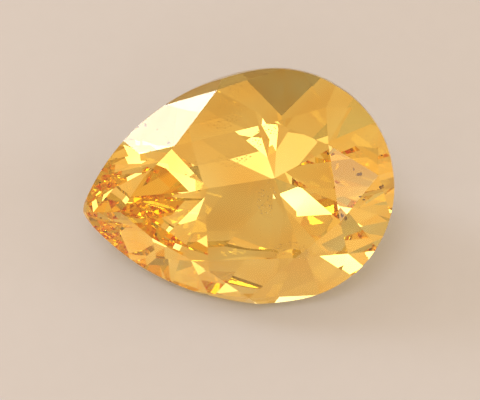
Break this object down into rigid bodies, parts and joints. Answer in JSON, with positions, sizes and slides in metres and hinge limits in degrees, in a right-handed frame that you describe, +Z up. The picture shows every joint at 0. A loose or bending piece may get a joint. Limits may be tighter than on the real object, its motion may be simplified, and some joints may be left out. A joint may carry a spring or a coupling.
{
  "type": "faceted gemstone",
  "caption": "Pear cut yellow sapphire, a clear faceted stone lying on its pavilion.",
  "frame": {"origin": "middle of the stone's box on the ground plane, under the stone as it lies", "axes": "+Z is up. +X runs along the stone from its pointed tip to its round head, level with the ground. The table faces up and towards -Y."},
  "size_m": [0.0178, 0.0108, 0.0094],
  "materials": {
    "sapphire": "polished clear yellow crystal"
  },
  "bodies": {
    "root": {"sapphire": "sapphire"}
  },
  "joints": []
}
